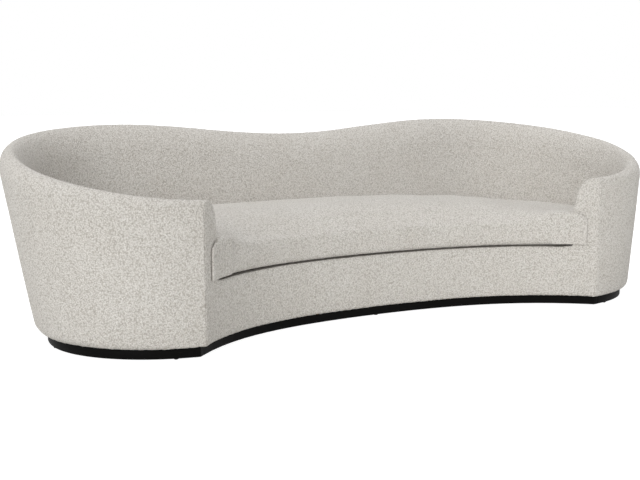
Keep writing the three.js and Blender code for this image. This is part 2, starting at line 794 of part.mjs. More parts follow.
// Sides of the seat at a level: the inner face of the wall, the front, and the corner between them
function wallSide(place, level) {
  const point = wallPoint(place, wallThickness(place) + cushion_side_clearance, level);
  return new THREE.Vector2(point.x, point.y);
}
function frontSide(x) {
  const point = frontPoint(x, -cushion_front_proud, 0);
  return new THREE.Vector2(point.x, point.y);
}
function frontCorner(level) {
  const corner_y = wallSide(front_place, level).y;
  let x = front_half_width;
  while (frontSide(x).y < corner_y) x -= cushion_side_clearance;
  return frontSide(x);
}
const cushion_levels = [cushion_bottom, cushion_bottom + cushion_wall_height];
// The outline leaves the wall where the corner's bend begins
let last_place = cushion_end_place;
for (const level of cushion_levels) {
  const bend_x = frontCorner(level).x + cushion_corner_radius;
  while (wallSide(last_place, level).x < bend_x) last_place -= place_step;
}
const cushion_places = placesBetween(-last_place, last_place).filter((place, i) => i % 2 === 0);
const bend_shares = [0, 0.35, 0.7];
// Outline of the seat: round the inner face of the wall, then back along the front with a bend at each end
function seatOutline(level) {
  const corner = frontCorner(level);
  const reach = corner.x - cushion_corner_radius;
  const front = [];
  for (let i = 0; i <= cushion_front_steps; i++) {
    front.push(frontSide(mix(reach, -reach, i / cushion_front_steps)));
  }
  const bend = (hand, end) => bend_shares.map((share) => {
    const tip = new THREE.Vector2(hand * corner.x, corner.y);
    const start = new THREE.Vector2(hand * (corner.x + cushion_corner_radius), corner.y);
    return start.lerp(tip, share).lerp(tip.clone().lerp(end, share), share);
  });
  const wall = cushion_places.map((place) => wallSide(place, level));
  return [...wall, ...bend(1, front[0]), ...front, ...bend(-1, front.at(-1)).reverse()];
}
const [low_outline, high_outline] = cushion_levels.map(seatOutline);
// Height of the cushion's edge: low along the front, rising at both ends to where it meets the wall
const edge_heights = low_outline.map((point, i) => {
  if (i < cushion_places.length) return cushion_wall_height;
  const share = (frontCorner(cushion_bottom).x - Math.abs(point.x)) / cushion_front_rise_length;
  return mix(cushion_wall_height, cushion_front_height, ease(clamp(share, 0, 1)));
});
// Side of the cushion as shares of its edge height: [height, inset]; its top: [way in, rise to the crown]
const side_profile_shares = [
  [0, 0.17], [0.07, 0.06], [0.22, 0.01], [0.5, 0], [0.78, 0.02], [0.93, 0.08], [1, 0.2],
];
const crown_profile_shares = [[0.2, 0.5], [0.38, 0.78], [0.58, 0.93], [0.8, 1]];
function cushionSolid(skin) {
  const start = side_profile_shares.at(-1)[1] * cushion_front_height;
  const ring = (heightAt, inset, way_in) => low_outline.map((low, i) => {
    const height = heightAt(edge_heights[i]);
    const edge = low.clone().lerp(high_outline[i], height / cushion_wall_height);
    const run = nearestOnSpine(edge).sub(edge);
    const length = run.length();
    const distance = mix(skin + inset, length, way_in);
    const moved = edge.addScaledVector(run, Math.min(distance / length, 1));
    return new THREE.Vector3(moved.x, moved.y, cushion_bottom + height);
  });
  const sides = side_profile_shares.map(([height_share, inset_share]) => {
    return ring((edge) => skin + (edge - 2 * skin) * height_share, inset_share * cushion_front_height, 0);
  });
  const crown = crown_profile_shares.map(([way_in, rise]) => {
    return ring((edge) => mix(edge, cushion_crown_height, rise) - skin, start, way_in);
  });
  return loft([...sides, ...crown]);
}

// Ear: the front corner of the cover runs on over the arm's front, and ends in a round shoulder
function earSolid(hand) {
  const end = front_half_width - ear_inset;
  const earSection = (top) => [
    [-cushion_front_proud, cushion_bottom], [-cushion_front_proud, top],
    [-ear_clearance, top], [-ear_clearance, cushion_bottom],
  ];
  const ringAt = (x, height) => {
    return earSection(cushion_bottom + height).map(([depth, z]) => frontPoint(hand * x, depth, z));
  };
  const rings = [ringAt(end - ear_root_length, ear_height)];
  for (let i = 0; i <= ear_steps; i++) {
    const angle = quarter * i / ear_steps;
    const height = mix(ear_end_height, ear_height, Math.cos(angle));
    rings.push(ringAt(end - ear_shoulder_length * (1 - Math.sin(angle)), height));
  }
  const cap = earSection(cushion_bottom + ear_height).map(([depth, z]) => new THREE.Vector2(depth, z));
  return loft(rings, cap);
}
const cushion_outer = cushionSolid(0).add(earSolid(-1)).add(earSolid(1));
const cushion_wall = cushion_outer.subtract(cushionSolid(cushion_cover_thickness));
const zip_z = cushion_bottom + cushion_wall_height / 2;
function zipSlot(margin) {
  const reach = zip_length / 2 + margin;
  const half = zip_width / 2 + margin;
  return block(-reach, reach, foot_end_centre_y, far, zip_z - half, zip_z + half);
}
addPart('cushion_cover', cushion_wall.subtract(zipSlot(fit)), cushion_fabric);
addPart('cushion_zip', cushion_wall.intersect(zipSlot(0)), zip_tape);
addPart('cushion_core', cushionSolid(cushion_cover_thickness + fit), foam);

// The origin is on the floor, under the middle of the sofa's footprint
const rearmost = crest_end_centre_y + crest_end_radius_rear;
const foremost = crest_end_centre_y - crest_end_radius_front;
const sofa = new THREE.Group();
parts.position.y = -(rearmost + foremost) / 2;
sofa.add(parts);

export default sofa;
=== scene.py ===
import math

import bmesh
import bpy
from mathutils import Matrix, Vector, noise


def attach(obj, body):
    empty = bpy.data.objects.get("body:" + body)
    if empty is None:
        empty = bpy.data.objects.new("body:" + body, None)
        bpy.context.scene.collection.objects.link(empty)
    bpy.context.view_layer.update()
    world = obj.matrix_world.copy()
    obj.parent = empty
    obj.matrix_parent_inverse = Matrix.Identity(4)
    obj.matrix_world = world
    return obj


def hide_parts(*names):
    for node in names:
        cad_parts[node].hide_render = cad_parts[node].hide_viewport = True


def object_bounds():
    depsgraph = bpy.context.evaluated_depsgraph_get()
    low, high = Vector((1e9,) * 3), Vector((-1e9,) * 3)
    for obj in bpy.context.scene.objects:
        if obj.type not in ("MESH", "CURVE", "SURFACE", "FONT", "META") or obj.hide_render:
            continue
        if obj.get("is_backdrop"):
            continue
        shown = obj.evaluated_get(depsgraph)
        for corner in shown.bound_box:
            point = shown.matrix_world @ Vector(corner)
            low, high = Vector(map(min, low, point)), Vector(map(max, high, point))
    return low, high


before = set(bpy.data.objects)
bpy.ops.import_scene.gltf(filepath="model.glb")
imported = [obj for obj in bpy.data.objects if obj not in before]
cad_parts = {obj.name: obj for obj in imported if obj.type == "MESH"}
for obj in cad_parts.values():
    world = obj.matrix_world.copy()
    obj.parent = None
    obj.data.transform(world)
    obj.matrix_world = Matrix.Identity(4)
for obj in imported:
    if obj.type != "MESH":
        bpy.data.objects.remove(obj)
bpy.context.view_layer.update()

# Camera of the photograph
CAMERA_PLACE = (-2.478, -4.0265, 0.950)
CAMERA_VIEW = (0.4982, 0.8559, -0.1388)
CAMERA_LENS = 61.96
CAMERA_SENSOR = 36
camera_data = bpy.data.cameras.new("camera")
camera_data.lens = CAMERA_LENS
camera_data.sensor_width = CAMERA_SENSOR
camera = bpy.data.objects.new("camera", camera_data)
camera.location = CAMERA_PLACE
camera.rotation_mode = "QUATERNION"
camera.rotation_quaternion = Vector(CAMERA_VIEW).to_track_quat("-Z", "Y")
bpy.context.scene.collection.objects.link(camera)
bpy.context.scene.camera = camera

# Plan lines of the lower edge of the cloth, of its top edge and of the plinth: two round ends and a back
FOOT = dict(x=878, y=400, side=503, front=426, rear=525, middle=907, square_front=1, square_rear=1)
CREST = dict(x=835, y=485, side=630, front=515, rear=622, middle=1095, square_front=0.88, square_rear=0.98)
PLINTH = dict(x=878, y=400, side=463, front=407, rear=485, middle=867, square_front=1, square_rear=1)
CENTRE_Y = 538.5
RUN_IN_LENGTH = 130

# Heights
GLIDE_TOP = 3
PLINTH_TOP = 41
SEAT_RAIL_TOP = 263
PAD_BOTTOM = 243.1
ARM_FRONT_HEIGHT = 556
BACK_CORNER_HEIGHT = 783
BACK_MIDDLE_HEIGHT = 729
CREST_RISE_POWER = 1.6

# Wall of the back and arms
ARM_WALL = 72
BACK_WALL = 88
PANEL_THICKNESS = 8
PAD_THICKNESS = 34
END_BULGE = 20
BULGE_POWER = 0.8
INNER_ROLL_HEIGHT = 125
HEM_RADIUS = 38
HEM_FRONT_RADIUS = 12
TOP_RAIL_DROP = 45
PANEL_SEAM = 1.25
PAD_SEAM = 1.1
FIT = 0.3

# Front
FRONT_HALF_WIDTH = 921
FRONT_SAGITTA = 296
FRONT_FULLNESS = 0.5
FRONT_OVERHANG = 25
PLINTH_HALF_WIDTH = 932
PLINTH_BOARD = 18
PLINTH_EDGE = 2

# Cushion
CUSHION_BOTTOM = 263.3
CUSHION_FRONT_HEIGHT = 117
CUSHION_WALL_HEIGHT = 152
CUSHION_SLACK = 3
CUSHION_CLEARANCE = 3
CUSHION_PROUD = 12
CUSHION_CORNER = 42
CUSHION_FRONT_RISE = 210
EAR_END = 891
EAR_SHOULDER = 66
EAR_ROOT = 125
EAR_HEIGHT = 150
EAR_END_HEIGHT = 108
EAR_CLEARANCE = 1
EAR_LIFT = 4
# Edges of an ear's section, as (distance back from its front, height over its bottom or its top)
EAR_BOTTOM_EDGE = [(8, 0), (4, 2), (1, 6), (0, 12)]
EAR_TOP_EDGE = [(0, -12), (1.5, -5), (5, 0)]
EAR_ROOT_DROP = 6
EAR_STEPS = 8

# By place along the wall, as numbered below: how high the outer top edge is rounded, and how far in its ridge lies
TOP_RADII = [(0, 25), (1, 25), (2, 90), (2.5, 66), (2.85, 25), (4, 25)]
RIDGE_INSETS = [(0, 22), (1, 22), (2, 46), (2.5, 42), (2.85, 22), (4, 22)]

# Spacing of the fine meshes, and the angle past which an edge is drawn sharp
FINE = 5.5
SHARP_ANGLE = 62

# Places along the wall: 0 is the middle of the back, 1 the rear of an end, 2 its side, 3 its foremost point and 4 the
# inboard end of a run-in behind the front. Negative places are on the left.
BACK, SIDE, FRONT, RUN_IN = 1, 2, 3, 4


def mix(a, b, share):
    return a + (b - a) * share


def ease(share):
    return (1 - math.cos(math.pi * share)) / 2


def clamp(value, low, high):
    return min(max(value, low), high)


def along(table, value):
    """The height at a value, eased between the entries of a table."""
    for (start, low), (end, high) in zip(table, table[1:]):
        if value <= end:
            return mix(low, high, ease(clamp((value - start) / (end - start), 0, 1)))
    return table[-1][1]


def to_frame(x, y, z):
    """A point in millimetres from the line through the front corners, as a point of the frame in metres."""
    return Vector((x, y - CENTRE_Y, z)) / 1000


def line_point(line, place):
    """The point of a plan line at a place."""
    hand = -1 if place < 0 else 1
    q = abs(place)
    if q <= BACK:
        return Vector((hand * line["x"] * q, mix(line["middle"], line["y"] + line["rear"], ease(q))))
    if q >= FRONT:
        return Vector((hand * (line["x"] - RUN_IN_LENGTH * (q - FRONT)), line["y"] - line["front"]))
    end = "rear" if q < SIDE else "front"
    angle = (q - SIDE) * math.pi / 2
    reach = line["side"] * max(math.cos(angle), 0) ** line["square_" + end]
    return Vector((hand * (line["x"] + reach), line["y"] - line[end] * math.sin(angle)))


def line_normal(lines, place):
    """The outward normal of plan lines at a place."""
    step = 1e-3
    heading = Vector((0, 0))
    for line in lines:
        heading += (line_point(line, place + step) - line_point(line, place - step)).normalized()
    return Vector((-heading.y, heading.x)).normalized()


def crest_height(place):
    """Height of the wall's top edge: low at the arm fronts, highest at the rear of the ends."""
    q = abs(place)
    if q <= BACK:
        return mix(BACK_MIDDLE_HEIGHT, BACK_CORNER_HEIGHT, ease(q))
    if q >= FRONT:
        return ARM_FRONT_HEIGHT
    share = (FRONT - q) / (FRONT - BACK)
    return mix(ARM_FRONT_HEIGHT, BACK_CORNER_HEIGHT, math.sin(share * math.pi / 2) ** CREST_RISE_POWER)


def wall_thickness(place):
    """Thickness of the padded wall, less at the arms."""
    share = clamp((abs(place) - BACK) / (FRONT - BACK), 0, 1)
    return mix(BACK_WALL, ARM_WALL, ease(share))


def end_share(place):
    """How far a place is round an end: 0 at the back and at the front corner, 1 at the side."""
    return math.sin(clamp((abs(place) - BACK) / (FRONT - BACK), 0, 1) * math.pi)


def top_radius(place):
    """How high the outer top edge is rounded."""
    return along(TOP_RADII, abs(place))


def ridge_inset(place):
    """How far the ridge of the wall lies in from its outer face."""
    return along(RIDGE_INSETS, abs(place))


def wall_at(place):
    """The wall at a place, as a function from depth and height to a point. It swells outwards at the ends."""
    foot, crest = line_point(FOOT, place), line_point(CREST, place)
    normal = line_normal((FOOT, CREST), place)
    height = crest_height(place)
    thick = wall_thickness(place)
    bulge = END_BULGE * end_share(place)

    def point(depth, z):
        rise = (z - PLINTH_TOP) / (height - PLINTH_TOP)
        swell = bulge * clamp(rise, 0, 1) ** BULGE_POWER * clamp(1 - depth / thick, 0, 1)
        spot = foot.lerp(crest, rise) - normal * (depth - swell)
        return Vector((spot.x, spot.y, z))

    return point


def hem_radius(place):
    """Radius of the rolled hem, which tightens towards the front corners."""
    share = clamp((abs(place) - SIDE) / (FRONT - SIDE), 0, 1)
    return mix(HEM_RADIUS, HEM_FRONT_RADIUS, ease(share))


def plinth_at(place):
    """The plinth at a place, as a function from depth and height to a point."""
    spot = line_point(PLINTH, place)
    normal = line_normal((PLINTH,), place)
    return lambda depth, z: Vector((spot.x - normal.x * depth, spot.y - normal.y * depth, z))


def front_line(half_width, overhang):
    """A line along the concave front, as a function from x to a function from depth and height to a point."""

    def rise(x):
        k = (x / half_width) ** 2
        return FRONT_SAGITTA * (1 - k) * (1 + FRONT_FULLNESS * k) - overhang

    def at(x):
        inside = clamp(x, -half_width, half_width)
        slope = rise(inside + 0.5) - rise(inside - 0.5)
        length = math.hypot(1, slope)
        y = rise(inside) + slope * (x - inside)
        return lambda depth, z: Vector((x - slope * depth / length, y + depth / length, z))

    return at


front_at = front_line(FRONT_HALF_WIDTH, FRONT_OVERHANG)
plinth_front_at = front_line(PLINTH_HALF_WIDTH, 0)


def steps(low, high, spacing):
    """Values from low to high, evenly, at most a spacing apart."""
    count = max(1, math.ceil(abs(high - low) / spacing - 1e-6))
    return [mix(low, high, i / count) for i in range(count + 1)]


def places(low, high, spacing):
    """Places from low to high, about a spacing in millimetres apart along the wall."""
    found = [low]
    while found[-1] < high:
        here = found[-1]
        run = (line_point(CREST, here + 1e-3) - line_point(CREST, here - 1e-3)).length / 2e-3
        found.append(here + spacing / run)
    stretch = (high - low) / (found[-1] - low)
    return [low + (place - low) * stretch for place in found]


def arc(centre, radii, start, end, count):
    """Points of an elliptical arc, with angles in degrees."""
    angles = [math.radians(mix(start, end, i / count)) for i in range(count + 1)]
    return [(centre[0] + radii[0] * math.cos(a), centre[1] + radii[1] * math.sin(a)) for a in angles]


def sweep(name, section, stations, at):
    """A solid through a closed section of (depth, height) corners, extruded from station to station."""
    bm = bmesh.new()
    corner = bm.verts.layers.int.new("corner")
    point = at(stations[0])
    ring = [bm.verts.new(to_frame(*point(*spot))) for spot in section(stations[0])]
    for i, vert in enumerate(ring):
        vert[corner] = i
    edges = [bm.edges.new(pair) for pair in zip(ring, ring[1:] + ring[:1])]
    bmesh.ops.contextual_create(bm, geom=edges)
    for station in stations[1:]:
        made = bmesh.ops.extrude_edge_only(bm, edges=edges)["geom"]
        fresh = {item for item in made if isinstance(item, bmesh.types.BMVert)}
        point = at(station)
        spots = section(station)
        for vert in fresh:
            vert.co = to_frame(*point(*spots[vert[corner]]))
        edges = [item for item in made if isinstance(item, bmesh.types.BMEdge) and set(item.verts) <= fresh]
    bmesh.ops.contextual_create(bm, geom=edges)
    bmesh.ops.recalc_face_normals(bm, faces=bm.faces)
    return bm


def piece(name, bm, material, body, *replaced):
    """Makes an object of a finished bmesh, which rides on a body and stands for CAD nodes."""
    mesh = bpy.data.meshes.new(name)
    bm.to_mesh(mesh)
    bm.free()
    mesh.shade_smooth()
    mesh.set_sharp_from_angle(angle=math.radians(SHARP_ANGLE))
    made = bpy.data.objects.new(name, mesh)
    bpy.context.scene.collection.objects.link(made)
    made.data.materials.append(material)
    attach(made, body)
    if replaced:
        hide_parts(*replaced)
    return made


def cut_front(bm, near, depth, rear=False):
    """Cuts an arm off a depth behind the front, which is all but flat there, or keeps only what is before it."""
    everything = [*bm.verts, *bm.edges, *bm.faces]
    cut = bmesh.ops.bisect_plane(bm, geom=everything, dist=1e-6, plane_co=to_frame(*near(depth, 0)),
                                 plane_no=near(-1, 0) - near(0, 0), clear_outer=not rear,
                                 clear_inner=rear)["geom_cut"]
    bmesh.ops.contextual_create(bm, geom=[item for item in cut if isinstance(item, bmesh.types.BMEdge)])


# A face with more corners closes an end, and isn't part of the surface
MOST_CORNERS = 5


def outward(vert, corner, shown):
    """The normal of the shown faces at a vertex, which the hidden faces at a seam don't turn."""
    total = Vector((0, 0, 0))
    for face in vert.link_faces:
        if len(face.verts) <= MOST_CORNERS and (corner is None or all(v[corner] < shown for v in face.verts)):
            total += face.normal * face.calc_area()
    return total.normalized() if total.length_squared else total


# Relief of the looped cloth: its nubs, with a finer share, the slow swell of the padding under it, and the hem
NUB_HEIGHT = 0.85
NUB_PITCH = 10
FINE_NUB_SHARE = 0.5
FINE_NUB_PITCH = NUB_PITCH / 2.1
SWELL_HEIGHT = 1.1
SWELL_PITCH = 170
HEM_RISE = 14
HEM_GAIN = 0.9


def loops(bm, corner=None, shown=0):
    """Moves a surface out and in as a looped cloth lies: nubs, a slow swell, and stronger nubs where it is hemmed."""
    bm.normal_update()
    moves = []
    for vert in bm.verts:
        spot = vert.co * 1000
        nub = noise.noise(spot / NUB_PITCH) + FINE_NUB_SHARE * noise.noise(spot / FINE_NUB_PITCH)
        hem = 1 + clamp((PLINTH_TOP + HEM_RISE - spot.z) / HEM_RISE, 0, 1) * HEM_GAIN
        move = NUB_HEIGHT * hem * nub + SWELL_HEIGHT * noise.noise(spot / SWELL_PITCH)
        moves.append(outward(vert, corner, shown) * move / 1000)
    for vert, move in zip(bm.verts, moves):
        vert.co += move


def join(bm, other):
    """Adds another bmesh's surface to one."""
    mesh = bpy.data.meshes.new("joined")
    other.to_mesh(mesh)
    other.free()
    bm.from_mesh(mesh)
    bpy.data.meshes.remove(mesh)


# Materials


def linear(code):
    """An sRGB hex colour as a linear colour with alpha."""
    channels = [int(code[i:i + 2], 16) / 255 for i in (1, 3, 5)]
    return (*[c / 12.92 if c <= 0.04045 else ((c + 0.055) / 1.055) ** 2.4 for c in channels], 1)


def add(tree, kind, inputs=None, **settings):
    """Adds a node with its own settings, and with values or outputs for its inputs."""
    made = tree.nodes.new(kind)
    for name, value in settings.items():
        setattr(made, name, value)
    for name, value in (inputs or {}).items():
        if isinstance(value, bpy.types.NodeSocket):
            tree.links.new(value, made.inputs[name])
        else:
            made.inputs[name].default_value = value
    return made


def finish(name):
    """A new material's tree, its shader and its object coordinates."""
    material = bpy.data.materials.new(name)
    material.use_nodes = True
    tree = material.node_tree
    place = add(tree, "ShaderNodeTexCoord").outputs["Object"]
    return material, tree, tree.nodes["Principled BSDF"], place


def blend_colours(tree, share, low, high):
    made = add(tree, "ShaderNodeMix", {0: share, 6: low, 7: high}, data_type="RGBA")
    return made.outputs[2]


def boucle():
    """Looped wool-blend upholstery cloth, woven with a slubbed yarn that stands up in curls: a matt, nubbly cream.

    Its curls are 3 to 4 mm across and its yarn 1 to 2 mm. Both are drawn coarser, so that they show in the render.
    """
    material, tree, shader, place = finish("boucle_oatmeal")
    loop_pitch, yarn_pitch, drift_pitch, lot_pitch = 0.0052, 0.003, 0.02, 0.16
    drift = add(tree, "ShaderNodeTexNoise", {"Vector": place, "Scale": 1 / drift_pitch, "Detail": 2.0})
    bent = add(tree, "ShaderNodeVectorMath", {0: drift.outputs["Color"], 1: (0.004, 0.004, 0.004)},
               operation="MULTIPLY")
    moved = add(tree, "ShaderNodeVectorMath", {0: place, 1: bent.outputs[0]}, operation="ADD")
    curl = add(tree, "ShaderNodeTexVoronoi", {"Vector": moved.outputs[0], "Scale": 1 / loop_pitch, "Smoothness": 0.6},
               feature="SMOOTH_F1")
    yarn = add(tree, "ShaderNodeTexNoise", {"Vector": place, "Scale": 1 / yarn_pitch, "Detail": 3.0,
                                            "Roughness": 0.6})
    lot = add(tree, "ShaderNodeTexNoise", {"Vector": place, "Scale": 1 / lot_pitch, "Detail": 3.0})
    # Painted shade: the colour darkens from the tops of the curls (#e7e5e1) to the hollows between them (#9f9a92), as
    # shade falls among the loops
    painted_gap_shade = add(tree, "ShaderNodeMapRange", {"Value": curl.outputs["Distance"], "From Min": 0.15, "From Max": 0.75})
    flecks = add(tree, "ShaderNodeMapRange", {"Value": yarn.outputs["Fac"], "From Min": 0.3, "From Max": 0.7})
    shaded_curls = blend_colours(tree, painted_gap_shade.outputs[0], linear("#e7e5e1"), linear("#9f9a92"))
    fleck = blend_colours(tree, flecks.outputs[0], linear("#a9a49d"), linear("#eae8e4"))
    yarns_and_gap_shade = add(tree, "ShaderNodeMix", {0: 0.35, 6: shaded_curls, 7: fleck}, data_type="RGBA").outputs[2]
    bolt = blend_colours(tree, lot.outputs["Fac"], linear("#f6f4f2"), linear("#ffffff"))
    tint = add(tree, "ShaderNodeMix", {0: 1.0, 6: yarns_and_gap_shade, 7: bolt}, data_type="RGBA", blend_type="MULTIPLY")
    relief = add(tree, "ShaderNodeMath", {0: curl.outputs["Distance"], 1: -1.0}, operation="MULTIPLY")
    fuzz = add(tree, "ShaderNodeMath", {0: yarn.outputs["Fac"], 1: 0.4, 2: relief.outputs[0]},
               operation="MULTIPLY_ADD")
    bump = add(tree, "ShaderNodeBump", {"Height": fuzz.outputs[0], "Strength": 0.7, "Distance": 0.004})
    tree.links.new(tint.outputs[2], shader.inputs["Base Color"])
    tree.links.new(bump.outputs[0], shader.inputs["Normal"])
    shader.inputs["Roughness"].default_value = 0.95
    shader.inputs["Specular IOR Level"].default_value = 0.1
    shader.inputs["Sheen Weight"].default_value = 0.15
    shader.inputs["Sheen Roughness"].default_value = 0.5
    return material


def lacquer():
    """Black satin lacquer sprayed on plywood: near black, with a soft gloss and the faintest grain.

    The grain is 1.5 mm from line to line across the boards' height, and long the other way.
    """
    material, tree, shader, place = finish("black_satin_lacquer")
    stretched = add(tree, "ShaderNodeMapping", {"Vector": place, "Scale": (6, 6, 220)})
    grain = add(tree, "ShaderNodeTexNoise", {"Vector": stretched.outputs[0], "Scale": 3.0, "Detail": 4.0})
    tone = blend_colours(tree, grain.outputs["Fac"], linear("#050505"), linear("#0b0a09"))
    gloss = add(tree, "ShaderNodeMapRange", {"Value": grain.outputs["Fac"], "To Min": 0.5, "To Max": 0.62})
    shader.inputs["Specular IOR Level"].default_value = 0.05
    bump = add(tree, "ShaderNodeBump", {"Height": grain.outputs["Fac"], "Strength": 0.15, "Distance": 0.0005})
    tree.links.new(tone, shader.inputs["Base Color"])
    tree.links.new(gloss.outputs[0], shader.inputs["Roughness"])
    tree.links.new(bump.outputs[0], shader.inputs["Normal"])
    return material


def timber(name, light, dark, grain_width, stretch):
    """Bare planed or sanded wood: bands of early and late wood along the grain, with pores."""
    material, tree, shader, place = finish(name)
    stretched = add(tree, "ShaderNodeMapping", {"Vector": place, "Scale": stretch})
    rings = add(tree, "ShaderNodeTexNoise", {"Vector": stretched.outputs[0], "Scale": 1 / grain_width, "Detail": 5.0,
                                             "Distortion": 0.6})
    bands = add(tree, "ShaderNodeMapRange", {"Value": rings.outputs["Fac"], "From Min": 0.35, "From Max": 0.65})
    tree.links.new(blend_colours(tree, bands.outputs[0], linear(light), linear(dark)), shader.inputs["Base Color"])
    bump = add(tree, "ShaderNodeBump", {"Height": rings.outputs["Fac"], "Strength": 0.2, "Distance": 0.0004})
    tree.links.new(bump.outputs[0], shader.inputs["Normal"])
    shader.inputs["Roughness"].default_value = 0.62
    return material


def cloth(name, light, dark, pitch, roughness=0.9):
    """A plain flat textile, such as webbing, felt, zip tape or non-woven cloth: fine threads or fibres, no gloss."""
    material, tree, shader, place = finish(name)
    fibres = add(tree, "ShaderNodeTexNoise", {"Vector": place, "Scale": 1 / pitch, "Detail": 4.0})
    tone = blend_colours(tree, fibres.outputs["Fac"], linear(light), linear(dark))
    tree.links.new(tone, shader.inputs["Base Color"])
    bump = add(tree, "ShaderNodeBump", {"Height": fibres.outputs["Fac"], "Strength": 0.4, "Distance": 0.001})
    tree.links.new(bump.outputs[0], shader.inputs["Normal"])
    shader.inputs["Roughness"].default_value = roughness
    return material


def steel():
    """Die-cast zinc slider, plated and tumbled: a grey metal with fine scuffs, about 1 mm long."""
    material, tree, shader, place = finish("plated_zinc_slider")
    scuffs = add(tree, "ShaderNodeTexNoise", {"Vector": place, "Scale": 1 / 0.001, "Detail": 3.0})
    tree.links.new(blend_colours(tree, scuffs.outputs["Fac"], linear("#a7a5a1"), linear("#8d8b88")),
                   shader.inputs["Base Color"])
    gloss = add(tree, "ShaderNodeMapRange", {"Value": scuffs.outputs["Fac"], "To Min": 0.25, "To Max": 0.45})
    tree.links.new(gloss.outputs[0], shader.inputs["Roughness"])
    shader.inputs["Metallic"].default_value = 1
    return material


BOUCLE = boucle()
LACQUER = lacquer()
# Birch plywood, sawn and sanded: pale and honey-coloured, with soft bands of grain 12 mm wide
BIRCH = timber("sanded_birch_plywood", "#d8bb88", "#c09a63", 0.012, (1, 8, 8))
# Beech rails, planed: redder and closer, with bands of grain 8 mm wide
BEECH = timber("planed_beech", "#c59a6c", "#ab7c4e", 0.008, (1, 10, 10))
# Nylon glides, injection-moulded: black, with the dull gloss of a spark-eroded mould, drawn coarser than its grain
NYLON = cloth("moulded_black_nylon", "#1d1d1d", "#141414", 0.004, 0.45)
# Wool and polyester felt, needled: grey and matt. Its fibres are finer than the 3 mm flecks that are drawn for them
FELT = cloth("grey_needled_felt", "#6f6b65", "#57534d", 0.003)
# Polypropylene webbing over rubber, woven: dark and matt, with threads of about 1 mm, drawn at 2 mm
WEBBING = cloth("elastic_webbing", "#46423d", "#2c2a27", 0.002)
# Polyurethane foam, foamed in a block and cut: pale yellow, with cells of about 1 mm, drawn at 2 mm
FOAM = cloth("open_cell_foam", "#ebe2bd", "#d9cfa4", 0.002)
# Polyester zip tape, woven: a flat beige with threads of 0.5 mm, drawn at 1.5 mm
ZIP_TAPE = cloth("woven_zip_tape", "#b9b4ab", "#a19b91", 0.0015)
# Nylon monofilament, coiled and heat-set: a smoother beige
ZIP_COIL = cloth("nylon_zip_coil", "#c4bfb6", "#aaa59b", 0.001, 0.5)
ZIP_SLIDER = steel()
# Polypropylene fibres, spun and pressed into a sheet: black and matt, with flecks drawn at 3 mm
DUST_CLOTH = cloth("black_non_woven_cloth", "#1b1b1b", "#0f0f0f", 0.003)

node_finishes = {
    "plinth": LACQUER, "glide": NYLON, "base": BIRCH, "rib": BIRCH, "arm": BIRCH, "top": BEECH, "seat": BIRCH,
    "front": BIRCH, "webbing": WEBBING, "seat_platform": FELT, "dust": DUST_CLOTH, "cushion": ZIP_TAPE,
    "inside": BOUCLE, "outside": BOUCLE,
}
for name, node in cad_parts.items():
    node.data.materials.clear()
    node.data.materials.append(node_finishes.get(name, node_finishes[name.split("_")[0]]))


# Outside panels


HEM_STEPS = 11
HEM_REAR_STEPS = 4
FACE_STEPS = 128
REAR_STEPS = 8
FACING_DEPTH = 3


def outer_section(place):
    """An outside panel: its hem and face, which show, then its back."""
    top = crest_height(place) - top_radius(place)
    hem = hem_radius(place)
    hem_z = PLINTH_TOP + hem
    inner = hem - PANEL_THICKNESS
    face = [(0, mix(hem_z, top, i / FACE_STEPS)) for i in range(1, FACE_STEPS + 1)]
    return [
        *arc((hem, hem_z), (hem, hem), 270, 180, HEM_STEPS), *face, (PANEL_THICKNESS, top),
        *[(PANEL_THICKNESS, mix(top, hem_z, i / REAR_STEPS)) for i in range(1, REAR_STEPS)],
        *arc((hem, hem_z), (inner, inner), 180, 270, HEM_REAR_STEPS),
    ]


panels = [("outside_arm_panel_left", -RUN_IN, -PANEL_SEAM, -1), ("outside_back_panel", -PANEL_SEAM, PANEL_SEAM, 0),
          ("outside_arm_panel_right", PANEL_SEAM, RUN_IN, 1)]
for name, low, high, hand in panels:
    bm = sweep(name, outer_section, places(low, high, FINE), wall_at)
    if hand:
        cut_front(bm, front_at(hand * FRONT_HALF_WIDTH), FACING_DEPTH)
    loops(bm, bm.verts.layers.int["corner"], HEM_STEPS + 1 + FACE_STEPS)
    made = piece(name + "_cloth", bm, BOUCLE, "frame", name)


# Inside pads with the rolled top


PAD_FRONT_DEPTH = 10
RIDGE_STEPS = 9
ROLL_STEPS = 28
INNER_STEPS = 76


def pad_section(place):
    """An inside pad: its top and face, which show, then its back."""
    crest = crest_height(place)
    thick = wall_thickness(place)
    radius, inset = top_radius(place), ridge_inset(place)
    seam = crest - radius
    roll_z = crest - INNER_ROLL_HEIGHT
    back = thick - PAD_THICKNESS
    face = [(thick, mix(roll_z, PAD_BOTTOM, i / INNER_STEPS)) for i in range(1, INNER_STEPS + 1)]
    return [
        *arc((inset, seam), (inset, radius), 180, 90, RIDGE_STEPS),
        *arc((inset, roll_z), (thick - inset, INNER_ROLL_HEIGHT), 90, 0, ROLL_STEPS)[1:], *face,
        (back, PAD_BOTTOM), (back, mix(PAD_BOTTOM, crest - TOP_RAIL_DROP, 0.5)), (back, crest - TOP_RAIL_DROP + FIT),
        (PANEL_THICKNESS, crest - TOP_RAIL_DROP + FIT), (PANEL_THICKNESS, min(seam, crest - TOP_RAIL_DROP)),
    ]


pads = [("inside_arm_pad_left", -RUN_IN, -PAD_SEAM, -1), ("inside_back_pad", -PAD_SEAM, PAD_SEAM, 0),
        ("inside_arm_pad_right", PAD_SEAM, RUN_IN, 1)]
for name, low, high, hand in pads:
    bm = sweep(name, pad_section, places(low, high, FINE), wall_at)
    if hand:
        cut_front(bm, front_at(hand * FRONT_HALF_WIDTH), PAD_FRONT_DEPTH)
    loops(bm, bm.verts.layers.int["corner"], RIDGE_STEPS + ROLL_STEPS + 1 + INNER_STEPS)
    made = piece(name + "_cloth", bm, BOUCLE, "frame", name)


# Plinth boards with eased edges


